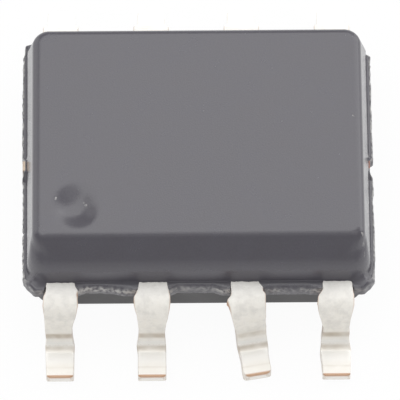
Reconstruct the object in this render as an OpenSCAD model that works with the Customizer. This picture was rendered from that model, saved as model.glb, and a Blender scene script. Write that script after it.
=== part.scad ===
// Integrated circuit in a narrow eight-lead small-outline package.
// Millimetres. The origin is on the seating plane under the middle of the body.
// X runs along the body, -Y is the side of pins 1 to 4 and Z is up.

/* [Body] */
// Length of the moulding at the parting plane
body_l = 4.76; // [4.6:0.01:5]
// Width of the moulding at the parting plane
body_w = 3.84; // [3.7:0.01:4]
// Height of the moulding above the lead frame
upper_h = 0.635; // [0.55:0.005:0.7]
// Height of the moulding below the lead frame
lower_h = 0.6; // [0.5:0.005:0.7]
// Gap under the moulding when the leads rest on a board
standoff = 0.15; // [0.1:0.01:0.25]
// Draft of the mould walls, in degrees
draft = 8; // [6:0.5:12]
// Plan radius of the upright corners at the parting plane
corner_r = 0.12; // [0.08:0.01:0.2]
// Plan radius of the corners of the flat top and underside
flat_corner_r = 0.1; // [0.05:0.01:0.2]
// Radius of the top and bottom edges
edge_r = 0.13; // [0.06:0.005:0.16]
// Height of the bevel along the pin 1 side
bevel_h = 0.335; // [0.25:0.005:0.4]
// Slope of that bevel, in degrees from level
bevel_deg = 45; // [40:1:50]
// Radius of the bevel's two long edges
bevel_edge_r = 0.16; // [0.06:0.01:0.18]

/* [Mould marks] */
// Diameter of the pin 1 dimple
dimple_d = 0.63; // [0.4:0.01:0.8]
// Depth of the pin 1 dimple
dimple_depth = 0.05; // [0.02:0.005:0.1]
// Distance of the dimple's centre from the end wall
dimple_from_end = 0.625; // [0.55:0.005:0.9]
// Distance of the dimple's centre from the pin 1 wall
dimple_from_side = 0.805; // [0.75:0.005:1]
// Diameter of the ejector-pin marks underneath
ejector_d = 0.8; // [0.5:0.05:1]
// Depth of the ejector-pin marks
ejector_depth = 0.03; // [0.01:0.005:0.06]
// Distance between the ejector-pin marks
ejector_gap = 2.2; // [1.6:0.1:2.6]

/* [Flash] */
// Width of the flash at the ends of the body
flash_end = 0.065; // [0.03:0.005:0.1]
// Width of the flash between the leads
flash_side = 0.12; // [0.06:0.01:0.18]
// Side length of the flash corner broken off beside pin 1
front_left_break = 0.2; // [0.06:0.01:0.22]
// Side length of the flash corner broken off beside pin 4
front_right_break = 0.17; // [0.04:0.01:0.22]
// Length of the end's flash broken off at the back left corner
back_left_break = 0.12; // [0.08:0.01:0.24]
// Length of the end's flash broken off at the back right corner
back_right_break = 0.2; // [0.08:0.01:0.28]
// Length of the side's flash broken off at both back corners
back_break_run = 0.35; // [0.2:0.01:0.42]
// Length of the sloping break beside the right tie bar
tie_break = 0.2; // [0.1:0.01:0.4]

/* [Leads] */
// Thickness of the lead frame
lead_t = 0.2; // [0.15:0.01:0.25]
// Distance between neighbouring leads
pitch = 1.27; // [1.2:0.01:1.3]
// Distance across the package from toe to toe
span = 5.98; // [5.8:0.01:6.2]
// Width of a lead where it leaves the moulding
lead_w = 0.41; // [0.34:0.01:0.46]
// Width across the cut stubs of the dam bar
stub_w = 0.49; // [0.44:0.01:0.56]
// Distance of those stubs from the moulding
stub_from_body = 0.13; // [0.1:0.01:0.16]
// Width of the leg
leg_w = 0.39; // [0.32:0.005:0.43]
// Width of the foot at its heel
foot_w = 0.41; // [0.34:0.01:0.46]
// Width of the foot at its toe
toe_w = 0.38; // [0.3:0.005:0.43]
// Straight run between the moulding and the shoulder
shoulder_run = 0.22; // [0.18:0.01:0.26]
// Inside radius of the shoulder
shoulder_r = 0.05; // [0.03:0.01:0.1]
// Inside radius of the heel
heel_r = 0.2; // [0.1:0.01:0.24]
// Slope of the leg, in degrees from level
leg_deg = 84; // [76:1:88]
// Radius of the toe's lower edge
toe_r = 0.09; // [0.03:0.01:0.12]
// Angle by which lead 3 is bent sideways
splay_deg = 10.25; // [0:0.25:14]

/* [Inner lead frame] */
// Length of the die paddle
paddle_l = 2.6; // [2.2:0.05:2.8]
// Width of the die paddle
paddle_w = 1.6; // [1.4:0.05:1.8]
// Depth of the paddle below the leads
downset = 0.2; // [0.1:0.01:0.3]
// Width of the tie bars
tie_w = 0.15; // [0.1:0.01:0.2]
// Distance of the tie bars from the middle, towards pins 1 to 4
tie_shift = 0.03; // [0:0.005:0.05]
// Level run of a tie bar beside the paddle
tie_run = 0.15; // [0.1:0.01:0.25]
// Distance by which the left tie bar stands out of the moulding
tie_out_left = 0.055; // [0.02:0.005:0.08]
// Distance by which the right tie bar stands out of the moulding
tie_out_right = 0.015; // [0.005:0.005:0.08]
// Gap between neighbouring pieces of the lead frame
frame_gap = 0.15; // [0.1:0.01:0.2]
// Width of the bonding tip of a middle lead
tip_w = 0.9; // [0.7:0.05:1]
// Length of the bonding tip of a middle lead
tip_l = 0.3; // [0.2:0.01:0.35]
// Length of the bonding tip of a corner lead
corner_tip_l = 0.5; // [0.35:0.01:0.6]

/* [Die and wires] */
// Length of the die
die_l = 1.9; // [1.5:0.05:2]
// Width of the die
die_w = 1.25; // [1:0.05:1.3]
// Thickness of the die
die_t = 0.25; // [0.2:0.01:0.3]
// Thickness of the die-attach layer
attach_t = 0.025; // [0.015:0.005:0.04]
// Distance by which the die-attach layer stands out around the die
attach_out = 0.04; // [0.02:0.005:0.05]
// Distance of the bond pads from the edge of the die
pad_inset = 0.11; // [0.08:0.01:0.15]
// Distance of a middle lead's bond pad from the die's centre line
pad_spread = 0.4; // [0.3:0.01:0.5]
// Distance of a corner lead's bond pad behind the row of middle pads
pad_step = 0.22; // [0.15:0.01:0.3]
// Diameter of a bond wire
wire_d = 0.03; // [0.02:0.002:0.04]
// Diameter of the ball bond on the die
ball_d = 0.08; // [0.06:0.005:0.1]
// Height of the ball bond
ball_h = 0.02; // [0.01:0.002:0.03]
// Rise of a wire's loop above the die
loop_h = 0.25; // [0.15:0.01:0.3]
// Run of a wire's last slope down to its stitch
landing_run = 0.175; // [0.12:0.005:0.2]

/* [Hidden] */
$fn = 48;
PINS = 8;
SIDE_PINS = PINS / 2;
BEND_STEPS = 12;
CORNER_SIDES = 32;
EDGE_STEPS = 4;
BEVEL_STEPS = 3;
TOE_STEPS = 4;
WIRE_SIDES = 6;
WIRE_STEPS = 12;
// Reach of cutting shapes past the faces that they cut
PAST = 0.3;

// Levels, from the board upwards
frame_z = standoff + lower_h;
frame_top = frame_z + lead_t;
paddle_z = frame_z - downset;
attach_z = paddle_z + lead_t;
die_z = attach_z + attach_t;
die_top = die_z + die_t;

// Lead centre line, as a path length from the moulding's wall
shoulder_mid_r = shoulder_r + lead_t / 2;
heel_mid_r = heel_r + lead_t / 2;
bends_drop = (shoulder_mid_r + heel_mid_r) * (1 - cos(leg_deg));
leg_len = (frame_z - bends_drop) / sin(leg_deg);
shoulder_s = shoulder_run;
leg_s = shoulder_s + shoulder_mid_r * leg_deg * PI / 180;
heel_s = leg_s + leg_len;
foot_s = heel_s + heel_mid_r * leg_deg * PI / 180;
leg_u = shoulder_run + shoulder_mid_r * sin(leg_deg);
leg_z = frame_z + lead_t / 2 - shoulder_mid_r * (1 - cos(leg_deg));
heel_u = leg_u + leg_len * cos(leg_deg);
heel_z = leg_z - leg_len * sin(leg_deg);
foot_u = heel_u + heel_mid_r * sin(leg_deg);
toe_u = (span - body_w) / 2;
// Toe's round, limited by the flat length of the foot
toe_round = min(toe_r, (toe_u - foot_u) / 2);

// Outline of the flash
flash_x = body_l / 2 + flash_end;
flash_y = body_w / 2 + flash_side;

// Position of a side's lead along the body, seen from outside with the lead pointing away
function lead_x(column) = (SIDE_PINS - 1) / 2 * pitch - column * pitch;
function is_corner(column) = column == 0 || column == SIDE_PINS - 1;

// Point of the lead's centre line: distance from the wall, height and slope
function lead_at(s) =
    s <= shoulder_s ? [s, frame_z + lead_t / 2, 0]
    : s <= leg_s ? let (a = (s - shoulder_s) / shoulder_mid_r * 180 / PI)
        [shoulder_run + shoulder_mid_r * sin(a), frame_z + lead_t / 2 - shoulder_mid_r * (1 - cos(a)), a]
    : s <= heel_s ? let (d = s - leg_s)
        [leg_u + d * cos(leg_deg), leg_z - d * sin(leg_deg), leg_deg]
    : let (a = max(0, leg_deg - (s - heel_s) / heel_mid_r * 180 / PI))
        [heel_u + heel_mid_r * (sin(leg_deg) - sin(a)), heel_z - heel_mid_r * (cos(a) - cos(leg_deg)), a];

// Point of the lead's upper or lower face, side +1 or -1
function lead_face(s, side) =
    let (p = lead_at(s))
    [p[0] + side * lead_t / 2 * sin(p[2]), p[1] + side * lead_t / 2 * cos(p[2])];

bend_stations = concat(
    [for (i = [0:BEND_STEPS]) shoulder_s + (leg_s - shoulder_s) * i / BEND_STEPS],
    [for (i = [0:BEND_STEPS]) heel_s + (foot_s - heel_s) * i / BEND_STEPS]
);

// Side view of the lead outside the wall, with the toe's lower edge rounded
lead_profile = concat(
    [[0, frame_top]],
    [for (s = bend_stations) lead_face(s, 1)],
    [[toe_u, lead_t]],
    [for (i = [0:TOE_STEPS]) let (a = -90 * i / TOE_STEPS)
        [toe_u - toe_round * (1 - cos(a)), toe_round * (1 + sin(a))]],
    [for (i = [len(bend_stations) - 1:-1:0]) lead_face(bend_stations[i], -1)],
    [[0, frame_z]]
);

// Half of the lead's plan outline
lead_plan_half = [
    [lead_w / 2, 0],
    [lead_w / 2, stub_from_body],
    [stub_w / 2, stub_from_body + (stub_w - lead_w) / 2],
    [stub_w / 2, leg_u],
    [foot_w / 2, foot_u],
    [toe_w / 2, toe_u]
];

// Half of the lead's front outline: the stubs taper into the leg, which widens into the foot
stub_side_h = lead_t / 4;
neck_h = lead_t + shoulder_mid_r / 2;
foot_flare_z = lead_t + heel_r / 4;
lead_front_half = [
    [stub_w / 2, frame_top],
    [stub_w / 2, frame_top - stub_side_h],
    [leg_w / 2, frame_top - neck_h],
    [leg_w / 2, lead_t + heel_r],
    [foot_w / 2, foot_flare_z],
    [foot_w / 2, 0]
];

// Closes a half outline across its centre line
function both_halves(half) = concat(half, [for (i = [len(half) - 1:-1:0]) [-half[i][0], half[i][1]]]);

// Corner of a flat face of the moulding, as a turned profile with a rounded edge
function corner_profile(h) =
    concat(
        [[0, h - edge_r * (1 - sin(draft))]],
        [for (i = [0:EDGE_STEPS]) let (a = draft + (90 - draft) * i / EDGE_STEPS)
            [flat_corner_r + edge_r * cos(a), h - edge_r + edge_r * sin(a)]],
        [[0, h]]
    );

// Vertex where two tangents of an edge's round meet, from the sharp edge and its two face normals
function round_vertex(edge, normal_a, normal_b, r, a, b) =
    let (m = (normal_a + normal_b) / 2, n = (a + b) / 2)
    edge - r / cos((normal_b - normal_a) / 2) * [cos(m), sin(m)] + r / cos((b - a) / 2) * [cos(n), sin(n)];

// Bevel of the pin 1 side, as distance outwards and height, above the lead frame's top
bevel_low = [body_w / 2 - (upper_h - bevel_h) * tan(draft), upper_h - bevel_h];
bevel_high = [bevel_low[0] - bevel_h / tan(bevel_deg), upper_h];
bevel_normal = 90 - bevel_deg;
function bevel_vertices(edge, normal_a, normal_b, first, last) = [
    for (i = [first:last])
        let (step = (normal_b - normal_a) / (BEVEL_STEPS + 1))
        round_vertex(edge, normal_a, normal_b, bevel_edge_r, normal_a + step * i, normal_a + step * (i + 1))
];
low_round = bevel_vertices(bevel_low, draft, bevel_normal, 1, BEVEL_STEPS);
high_round = bevel_vertices(bevel_high, bevel_normal, 90, 0, BEVEL_STEPS - 1);
low_start = draft + (bevel_normal - draft) / (BEVEL_STEPS + 1);
high_end = 90 - bevel_deg / (BEVEL_STEPS + 1);
bevel_outline = concat(
    [low_round[0] + PAST * [sin(low_start), -cos(low_start)]],
    low_round,
    high_round,
    [high_round[BEVEL_STEPS - 1] + PAST * [-sin(high_end), cos(high_end)]],
    [[-body_w, upper_h + PAST], [-body_w, -PAST], [body_w, -PAST]]
);

// Places a side's pieces: pins 1 to 4 in front, 5 to 8 behind
module on_side(pin) {
    rotate([0, 0, pin <= SIDE_PINS ? 180 : 0]) children();
}

// Turns a drawing of distance and height upright, facing +Y, and gives it a width along X
module upright(width) {
    rotate([90, 0, 90]) linear_extrude(width, center = true) children();
}

// Half of the moulding: cones stand on the parting plane's corners and end inside it
module drafted_half(h) {
    flat_inset = h * tan(draft) + edge_r * tan(45 - draft / 2) + flat_corner_r;
    hull() {
        for (x = [-1, 1], y = [-1, 1]) {
            translate([x * (body_l / 2 - corner_r), y * (body_w / 2 - corner_r), 0])
                cylinder(h = h / 2, r1 = corner_r, r2 = 0, $fn = CORNER_SIDES);
            translate([x * (body_l / 2 - flat_inset), y * (body_w / 2 - flat_inset), 0])
                rotate_extrude($fn = CORNER_SIDES) polygon(corner_profile(h));
        }
    }
}

module upper_half() {
    dish_r = (pow(dimple_d / 2, 2) + pow(dimple_depth, 2)) / (2 * dimple_depth);
    translate([0, 0, frame_top]) difference() {
        intersection() {
            drafted_half(upper_h);
            mirror([0, 1, 0]) upright(body_l + 2 * PAST) polygon(bevel_outline);
        }
        translate([dimple_from_end - body_l / 2, dimple_from_side - body_w / 2, 0])
            translate([0, 0, upper_h - dimple_depth + dish_r]) sphere(dish_r);
    }
}

module lower_half() {
    translate([0, 0, frame_z]) mirror([0, 0, 1]) difference() {
        drafted_half(lower_h);
        for (x = [-1, 1]) {
            translate([x * ejector_gap / 2, 0, lower_h - ejector_depth])
                cylinder(h = ejector_depth + PAST, d = ejector_d);
        }
    }
}

// Cut that takes a slanting corner off the flash
module corner_break(along_side, along_end) {
    polygon([[-PAST, -PAST], [along_side, -PAST], [along_side, 0], [0, along_end], [-PAST, along_end]]);
}

// Slab of the lead frame's thickness: it fills the frame's openings and ends in broken flash
module flash_slab() {
    translate([0, 0, frame_z]) linear_extrude(lead_t) difference() {
        square([2 * flash_x, 2 * flash_y], center = true);
        translate([-flash_x, -flash_y]) corner_break(front_left_break, front_left_break);
        translate([-flash_x, flash_y]) mirror([0, 1]) corner_break(back_break_run, back_left_break);
        translate([flash_x, flash_y]) rotate(180) corner_break(back_break_run, back_right_break);
        translate([flash_x, -flash_y]) mirror([1, 0]) corner_break(front_right_break, front_right_break);
        translate([flash_x, -tie_shift])
            polygon([[PAST, tie_w / 2], [-flash_end, tie_w / 2], [-flash_end, -tie_w / 2],
                [0, -tie_w / 2 - tie_break], [PAST, -tie_w / 2 - tie_break]]);
        translate([-flash_x, -tie_shift])
            polygon([[-PAST, tie_w], [0, tie_w], [flash_end / 2, tie_w / 2], [flash_end / 2, -tie_w / 2],
                [0, -tie_w], [-PAST, -tie_w]]);
    }
}

module moulded_body() {
    color([0.36, 0.35, 0.37]) difference() {
        union() {
            upper_half();
            lower_half();
            flash_slab();
        }
        die_paddle();
        die_attach();
        die();
        for (pin = [1:PINS]) {
            lead(pin);
            bond_wire(pin);
        }
    }
}

// Part of a lead inside the moulding: a finger with a bonding tip beside the paddle.
// It runs past the wall by its lap, so that it joins the part outside.
module lead_inside(column, lap) {
    hand = lead_x(column) > 0 ? 1 : -1;
    middle_tip_y = paddle_w / 2 + frame_gap;
    corner_tip_y = tie_w / 2 + tie_shift + frame_gap;
    corner_tip_x = paddle_l / 2 + frame_gap;
    finger_y = is_corner(column) ? corner_tip_y : middle_tip_y;
    translate([0, 0, frame_z]) linear_extrude(lead_t) {
        translate([lead_x(column) - lead_w / 2, finger_y]) square([lead_w, body_w / 2 + lap - finger_y]);
        if (is_corner(column))
            translate([hand > 0 ? corner_tip_x : lead_x(column), corner_tip_y])
                square([abs(lead_x(column)) - corner_tip_x, corner_tip_l]);
        else
            translate([lead_x(column) - tip_w / 2, middle_tip_y]) square([tip_w, tip_l]);
    }
}

// Gull wing of a lead, from the moulding's wall outwards
module lead_outside() {
    intersection() {
        upright(stub_w + PAST) polygon(lead_profile);
        linear_extrude(frame_top + PAST) polygon(both_halves(lead_plan_half));
        translate([0, toe_u + PAST, 0]) rotate([90, 0, 0])
            linear_extrude(toe_u + 2 * PAST) polygon(both_halves(lead_front_half));
    }
}

// Lead 3 is bent sideways at the wall, about a kink as wide as the lead
module lead(pin) {
    column = (pin - 1) % SIDE_PINS;
    bent = pin == 3 ? splay_deg : 0;
    color([0.9, 0.88, 0.84]) on_side(pin) {
        lead_inside(column, bent > 0 ? 0 : stub_from_body / 2);
        translate([lead_x(column), body_w / 2, 0]) {
            rotate([0, 0, bent]) lead_outside();
            if (bent > 0) translate([0, 0, frame_z]) cylinder(h = lead_t, d = lead_w);
        }
    }
}

// Tie bar from the paddle up to the lead frame's level and out through the end of the moulding
module tie_bar(out) {
    inner = paddle_l / 2;
    ramp = inner + tie_run;
    end = body_l / 2 + out;
    translate([0, -tie_shift, 0]) rotate([90, 0, 0]) linear_extrude(tie_w, center = true)
        polygon([[inner - PAST, paddle_z], [ramp, paddle_z], [ramp + downset, frame_z], [end, frame_z],
            [end, frame_top], [ramp + downset, frame_top], [ramp, attach_z], [inner - PAST, attach_z]]);
}

module die_paddle() {
    color([0.78, 0.5, 0.36]) {
        translate([-paddle_l / 2, -paddle_w / 2, paddle_z]) cube([paddle_l, paddle_w, lead_t]);
        tie_bar(tie_out_right);
        mirror([1, 0, 0]) tie_bar(tie_out_left);
    }
}

module die_attach() {
    l = die_l + 2 * attach_out;
    w = die_w + 2 * attach_out;
    color([0.7, 0.7, 0.72]) translate([-l / 2, -w / 2, attach_z]) cube([l, w, attach_t]);
}

module die() {
    color([0.25, 0.27, 0.33]) translate([-die_l / 2, -die_w / 2, die_z]) cube([die_l, die_w, die_t]);
}

// Ends of a wire: its ball on the die and its stitch on the lead's tip
function pad_at(column) =
    let (hand = lead_x(column) > 0 ? 1 : -1)
    is_corner(column)
    ? [hand * (die_l / 2 - pad_inset), die_w / 2 - pad_inset - pad_step, die_top]
    : [hand * pad_spread, die_w / 2 - pad_inset, die_top];
function stitch_at(column) =
    let (hand = lead_x(column) > 0 ? 1 : -1)
    is_corner(column)
    ? [hand * (paddle_l / 2 + 2 * frame_gap), (tie_w + corner_tip_l) / 2 + tie_shift + frame_gap, frame_top]
    : [lead_x(column), paddle_w / 2 + frame_gap + tip_l / 2, frame_top];

// Loop of a wire: straight up from its ball, over, and down to its stitch
function loop_point(c, t) =
    pow(1 - t, 3) * c[0] + 3 * t * pow(1 - t, 2) * c[1] + 3 * pow(t, 2) * (1 - t) * c[2] + pow(t, 3) * c[3];
function loop_slope(c, t) =
    pow(1 - t, 2) * (c[1] - c[0]) + 2 * t * (1 - t) * (c[2] - c[1]) + pow(t, 2) * (c[3] - c[2]);
function unit(v) = v / norm(v);

// Round section of a wire across its direction
function wire_ring(mid, side, along, r) =
    let (up = cross(along, side))
    [for (i = [0:WIRE_SIDES - 1]) let (a = 360 * i / WIRE_SIDES) mid + r * (cos(a) * side + sin(a) * up)];

// Section slid along the wire's direction until it lies level at height z
function landed(ring, along, z) = [for (p = ring) p + along * (z - p[2]) / along[2]];

module bond_wire(pin) {
    column = (pin - 1) % SIDE_PINS;
    up = [0, 0, 1];
    pad = pad_at(column);
    stitch = stitch_at(column);
    reach = unit([stitch[0] - pad[0], stitch[1] - pad[1], 0]);
    side = cross(up, reach);
    landing = stitch + landing_run * (up - reach);
    loop = [pad + ball_h * up, pad + (ball_h + loop_h) * up, landing, stitch];
    rings = concat(
        [wire_ring(pad, side, up, ball_d / 2), wire_ring(pad + ball_h * up, side, up, ball_d / 2)],
        [for (i = [0:WIRE_STEPS - 1]) let (t = i / WIRE_STEPS)
            wire_ring(loop_point(loop, t), side, unit(loop_slope(loop, t)), wire_d / 2)],
        [let (along = unit(loop_slope(loop, 1)))
            landed(wire_ring(stitch, side, along, wire_d / 2), along, frame_top)]
    );
    points = [for (ring = rings, p = ring) p];
    last = len(rings) - 1;
    color([0.85, 0.68, 0.3]) on_side(pin) polyhedron(
        points,
        concat(
            [[for (i = [0:WIRE_SIDES - 1]) i]],
            [for (r = [0:last - 1], i = [0:WIRE_SIDES - 1])
                let (a = r * WIRE_SIDES, j = (i + 1) % WIRE_SIDES)
                [a + i, a + WIRE_SIDES + i, a + WIRE_SIDES + j, a + j]],
            [[for (i = [WIRE_SIDES - 1:-1:0]) last * WIRE_SIDES + i]]
        )
    );
}

moulded_body();
die_paddle();
die_attach();
die();
for (pin = [1:PINS]) {
    lead(pin);
    bond_wire(pin);
}
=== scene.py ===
import math

import bpy
import numpy as np
from mathutils import Matrix, Quaternion, Vector, noise
from mathutils.geometry import delaunay_2d_cdt


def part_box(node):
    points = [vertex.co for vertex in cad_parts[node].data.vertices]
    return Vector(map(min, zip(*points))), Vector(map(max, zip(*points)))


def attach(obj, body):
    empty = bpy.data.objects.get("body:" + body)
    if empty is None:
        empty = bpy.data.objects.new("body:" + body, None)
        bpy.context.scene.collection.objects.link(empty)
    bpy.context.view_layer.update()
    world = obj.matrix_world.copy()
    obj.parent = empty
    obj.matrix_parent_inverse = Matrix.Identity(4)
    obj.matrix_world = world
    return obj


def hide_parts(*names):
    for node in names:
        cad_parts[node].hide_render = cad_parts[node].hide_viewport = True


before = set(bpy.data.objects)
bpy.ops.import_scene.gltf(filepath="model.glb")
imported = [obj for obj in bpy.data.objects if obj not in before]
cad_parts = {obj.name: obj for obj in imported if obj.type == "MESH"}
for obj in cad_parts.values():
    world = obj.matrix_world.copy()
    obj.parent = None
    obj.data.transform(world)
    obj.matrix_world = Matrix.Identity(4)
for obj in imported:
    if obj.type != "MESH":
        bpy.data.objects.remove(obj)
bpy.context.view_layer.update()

# Lengths are in millimetres. Meshes are scaled to metres when they are made.
MM = 0.001


def box_mm(node):
    low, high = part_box(node)
    return np.array(low) / MM, np.array(high) / MM


# Sizes taken from the frame
BODY_LOW, BODY_HIGH = box_mm("moulded_body")
LEAD_HIGH = box_mm("lead_5")[1]
PADDLE_SIDE = box_mm("die_paddle")[1][1]
FLASH_X, FLASH_Y, TOP_Z = BODY_HIGH
BOTTOM_Z = BODY_LOW[2]
FRAME_TOP = LEAD_HIGH[2]

# Lead frame
LEAD_T = 0.2
LEAD_W = 0.41
PITCH = 1.27
SIDE_PINS = 4
END_LEAD_X = (SIDE_PINS - 1) / 2 * PITCH
FRAME_Z = FRAME_TOP - LEAD_T

# Moulding
FLASH_END = 0.06
FLASH_SIDE = 0.12
HALF_L = FLASH_X - FLASH_END
HALF_W = FLASH_Y - FLASH_SIDE
UPPER_H = TOP_Z - FRAME_TOP
LOWER_H = FRAME_Z - BOTTOM_Z
CORNER_R = 0.12
FLAT_CORNER_R = 0.1
EDGE_R = 0.14
DRAFT = math.radians(8)
END_DRAFT = math.radians(10)
# Radius of the wall's two front corners
WALL_CORNER_R = 0.32
# The bevel along the front slopes at 45 degrees. It starts softly and ends in a round.
BEVEL_SLOPE = math.radians(45)
BEVEL_H = 0.335
BEVEL_SOFT = 0.09
BEVEL_TOP_R = 0.14
# Fillet at the wall's foot: radius along the sides, largest radius elsewhere and its share of the flash there
FILLET_R = 0.012
CORNER_FILLET_R = 0.15
FILLET_SHARE = 0.6
# The flash at the ends is thinner than the frame, except beside the tie bars
END_DROP = 0.65
DROP_FADE = 0.12
TIE_Y = -0.03
TIE_CLEAR = (0.09, 0.2)
# Pin 1 dimple: place, depth, flat share, and reach to its four sides, which lean a little
DIMPLE_FROM_END = 0.7
DIMPLE_FROM_SIDE = 0.838
DIMPLE_DEPTH = 0.087
DIMPLE_FLAT = 0.1
DIMPLE_LEAN = math.radians(15)
DIMPLE_FRONT = 0.42
DIMPLE_BACK = 0.43
DIMPLE_LEFT = 0.4
DIMPLE_RIGHT = 0.36
DIMPLE_X = DIMPLE_FROM_END - HALF_L
DIMPLE_Y = DIMPLE_FROM_SIDE - HALF_W
# Height over which the dimple also lowers the nearest part of the bevel's edge
SAG_H = 0.2
# Ejector marks underneath
EJECTOR_R = 0.4
EJECTOR_RIM = 0.96
EJECTOR_DEPTH = 0.03
EJECTOR_X = 1.1
# Pale marks on the top face and the bevel: how pale they are, their even share, and their places and radii.
# The first four are painted glints in the dimple, the fifth a pale fleck on the top, and the last three
# scuffs on the bevel's right edge with a painted highlight
FLECK_AND_GLINT_PALE = 1.2
FLECK_EVEN = 0.5
TOP_FLECKS_AND_GLINTS = [
    (-1.972, -0.952, 0.02), (-1.963, -0.93, 0.016), (-1.575, -0.985, 0.02), (-1.555, -1.03, 0.026),
    (2.155, 0.365, 0.014), (2.255, -1.52, 0.02), (2.27, -1.6, 0.014), (2.285, -1.7, 0.022),
]
# Painted shade: a dark lower half near the floor, up to a level, and a dark band in the crease along the
# wall's foot; and a dull band along the foot
LOWER_PAINTED_SHADE = 0.9
LOWER_PAINTED_SHADE_Z = FRAME_Z + 0.005
FOOT_PAINTED_SHADE = 0.1
FOOT_PAINTED_SHADE_H = 0.16
DULL_H = 0.26
# Where the painted shade band starts and ends, by share of its height
FOOT_PAINTED_SHADE_AT = ((-0.08, 0.05), (0.1, 1.0))
# Distance by which a point may miss the level that it is on
LEVEL_GAP = 0.001
# Ranges of the outward normals, along X for the ends and along Y for the sides, over which something sets in:
# the lower flash at the ends, the wide fillet, the polish of the ends, and the sides' bands
LOWER_FLASH_AT = (0.6, 0.95)
WIDE_FILLET_AT = (0.05, 0.5)
POLISH_AT = (0.9, 1.0)
SIDE_BANDS_AT = (0.75, 1.0)

# Smooth shading stops at edges sharper than this
SHARP_ANGLE = math.radians(38)
# Noise: the shift that a seed gives it, the weights of its coarse and fine parts, and how much finer one is
SEED_SHIFT = (17.3, -9.1, 5.7)
COARSE_WEIGHT = 1.3
FINE_WEIGHT = 0.5
FINER = 3


def smooth_step(low, high, x):
    t = np.clip((x - low) / (high - low), 0, 1)
    return t * t * (3 - 2 * t)


def band(x, rise, fall):
    """Goes from 0 up to 1 over one range of x and back over another."""
    return smooth_step(*rise, x) * (1 - smooth_step(*fall, x))


def ragged(points, wave, seed):
    """Noise of about -1 to 1 at the points, with detail down to a third of its wave."""
    offset = Vector([shift * seed for shift in SEED_SHIFT])
    out = []
    for p in points:
        q = Vector(p) / wave + offset
        out.append(noise.noise(q) * COARSE_WEIGHT + noise.noise(q * FINER) * FINE_WEIGHT)
    return np.array(out)


def add_object(name, data):
    item = bpy.data.objects.new(name, data)
    bpy.context.scene.collection.objects.link(item)
    return item


def tube_faces(rows, count):
    """Faces between rows of points, each a closed ring of the same count."""
    faces = []
    for i in range(rows - 1):
        for j in range(count):
            k = (j + 1) % count
            faces.append((i * count + j, i * count + k, (i + 1) * count + k, (i + 1) * count + j))
    return faces


def make_piece(name, points, faces, material, replaced, attributes):
    """A smooth-shaded mesh piece in metres that rides on the root body and stands for a CAD node."""
    mesh = bpy.data.meshes.new(name)
    mesh.from_pydata((np.asarray(points) * MM).tolist(), [], faces)
    for key, values in attributes.items():
        layer = mesh.attributes.new(key, "FLOAT", "POINT")
        layer.data.foreach_set("value", np.asarray(values, np.float32))
    mesh.polygons.foreach_set("use_smooth", [True] * len(mesh.polygons))
    mesh.set_sharp_from_angle(angle=SHARP_ANGLE)
    mesh.materials.append(material)
    piece = add_object(name, mesh)
    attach(piece, "root")
    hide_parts(replaced)


# Materials

MOULDING_DARK = (0.0495, 0.0445, 0.06)
MOULDING_LIGHT = (0.0525, 0.0485, 0.067)
MOULDING_GRAIN = (0.082, 0.077, 0.088)
MOULDING_PAINTED_SHADE = (0.022, 0.02, 0.021)
MOULDING_BROKEN_AND_GLINT = (0.46, 0.45, 0.44)
TIN_DARK = (0.93, 0.895, 0.825)
TIN_LIGHT = (0.96, 0.93, 0.87)
TIN_PALE_AND_PAINTED_LIGHT = (1.0, 0.985, 0.945)
TIN_STAIN = (0.68, 0.66, 0.62)
TIN_TAN = (0.5, 0.42, 0.33)
STUB_COPPER = (0.55, 0.3, 0.16)
FRAME_COPPER = (0.46, 0.2, 0.13)
FRAME_COPPER_DARK = (0.38, 0.16, 0.1)
FRAME_TINNED = (0.45, 0.37, 0.3)
PASTE_DARK = (0.35, 0.35, 0.36)
PASTE_LIGHT = (0.6, 0.6, 0.61)
SILICON = (0.2, 0.21, 0.25)
SILICON_DARK = (0.16, 0.17, 0.21)
GOLD = (0.88, 0.68, 0.28)
GOLD_DARK = (0.8, 0.6, 0.24)
# The left tie bar is tinned beyond this range of X
TINNED_X = (-2.3, -2.2)
# Roughness of the moulding, what its looks add to it, and roughness of the smooth and the matte tin
MOULDING_ROUGH = (0.22, 0.28)
MOULDING_ROUGHER = {"broken": 0.2, "painted_shade": 0.35, "dull": 0.3, "polished": -0.12}
TIN_ROUGH = (0.22, 0.55)
# Metallic share of the dull and the shiny tin, and how far the pale tin and its painted light take on the
# pale colour
TIN_METALLIC = (0.06, 0.2)
PALE_SHARE = 0.8
COPPER_ROUGH = (0.32, 0.48)
# How far a plain metal's roughness goes to both sides of its mean
METAL_SPREAD = 0.08
# Ranges of values that are stretched to a whole mix: two for noise, and one for a piece's looks
MIDDLE = (0.3, 0.7)
WIDE = (0.2, 0.8)
WHOLE = (0, 1)


def new_material(name):
    material = bpy.data.materials.new(name)
    material.use_nodes = True
    tree = material.node_tree
    shader = tree.nodes["Principled BSDF"]
    return material, tree, shader


def add(tree, kind, **settings):
    node = tree.nodes.new(kind)
    for key, value in settings.items():
        if key in node.inputs:
            node.inputs[key].default_value = value
        else:
            setattr(node, key, value)
    return node


def feed(tree, socket, value):
    """Links an output to a socket, or sets a number or a colour on it."""
    if isinstance(value, tuple):
        socket.default_value = (*value, 1)
    elif isinstance(value, (int, float)):
        socket.default_value = value
    else:
        tree.links.new(value, socket)


def object_noise(tree, size_mm, detail=3.0, roughness=0.55):
    """Noise over the object's own coordinates, with features of the given size."""
    place = add(tree, "ShaderNodeTexCoord")
    texture = add(tree, "ShaderNodeTexNoise", Scale=1 / (size_mm * MM), Detail=detail, Roughness=roughness)
    tree.links.new(place.outputs["Object"], texture.inputs["Vector"])
    return texture.outputs["Fac"]


def attribute(tree, name):
    return add(tree, "ShaderNodeAttribute", attribute_name=name).outputs["Fac"]


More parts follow.
